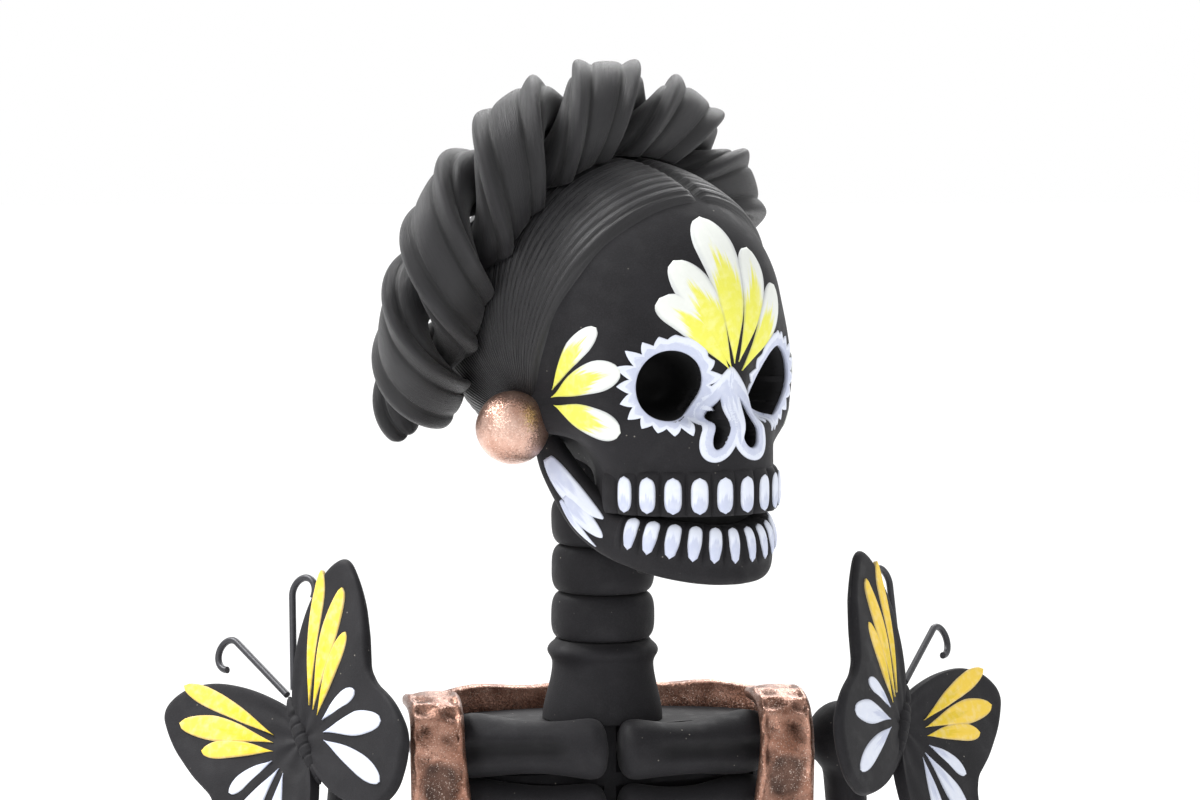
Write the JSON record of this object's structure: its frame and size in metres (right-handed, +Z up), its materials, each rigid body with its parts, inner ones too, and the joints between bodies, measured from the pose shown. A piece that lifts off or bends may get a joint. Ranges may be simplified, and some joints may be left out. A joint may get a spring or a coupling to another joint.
{
  "type": "catrina figure",
  "caption": "Standing skeleton lady in a long hollow flared skirt and strapped bodice, with a braided crown of hair, ear studs and shoulder butterflies; the head turns and lifts off",
  "frame": {"origin": "centre of the hem, on the surface that the figure stands on", "axes": "+Z up, the chest faces -Y, the figure's left is +X"},
  "size_m": [0.147, 0.147, 0.4493],
  "materials": {
    "clay": "matte black",
    "copper_paint": "copper glitter paint on clay",
    "rose_paint": "rose gold glitter paint on clay",
    "wire": "black",
    "steel": "bare"
  },
  "bodies": {
    "figure": {"skirt": "clay", "hem_band": "copper_paint", "waist_sash": "copper_paint", "torso_core": "clay", "bodice": "copper_paint", "dress_back": "copper_paint", "strap_right": "copper_paint", "strap_left": "copper_paint", "shoulder_rod": "steel", "collarbone_right": "clay", "collarbone_left": "clay", "rib_1_right": "clay", "rib_1_left": "clay", "rib_2_right": "clay", "rib_2_left": "clay", "rib_3_right": "clay", "rib_3_left": "clay", "neck_root": "clay", "vertebra_1": "clay", "vertebra_2": "clay", "vertebra_3": "clay", "vertebra_4": "clay", "spine_rod": "steel", "upper_arm_right": "clay", "elbow_peg_right": "steel", "forearm_right": "clay", "wrist_peg_right": "steel", "hand_right": "clay", "upper_arm_left": "clay", "elbow_peg_left": "steel", "forearm_left": "clay", "wrist_peg_left": "steel", "hand_left": "clay", "butterfly_body_right": "clay", "butterfly_inner_wing_right": "clay", "butterfly_outer_wing_right": "clay", "butterfly_feelers_right": "wire", "butterfly_stem_right": "wire", "butterfly_body_left": "clay", "butterfly_inner_wing_left": "clay", "butterfly_outer_wing_left": "clay", "butterfly_feelers_left": "wire", "butterfly_stem_left": "wire"},
    "peg": {"head_pin": "steel"},
    "head": {"skull": "clay", "lower_jaw": "clay", "hair_cap": "clay", "braid_strand_a": "clay", "braid_strand_b": "clay", "earring_right": "rose_paint", "earring_left": "rose_paint", "earring_pin_right": "steel", "earring_pin_left": "steel"}
  },
  "joints": [
    {"name": "head_turn", "type": "hinge", "parent": "figure", "child": "peg", "pos_m": [0, 0, 0.3937], "axis": [0, 0, 1], "continuous": true},
    {"name": "head_lift", "type": "slide", "parent": "peg", "child": "head", "axis": [0, 0, 1], "range_m": [0, 0.014]}
  ]
}
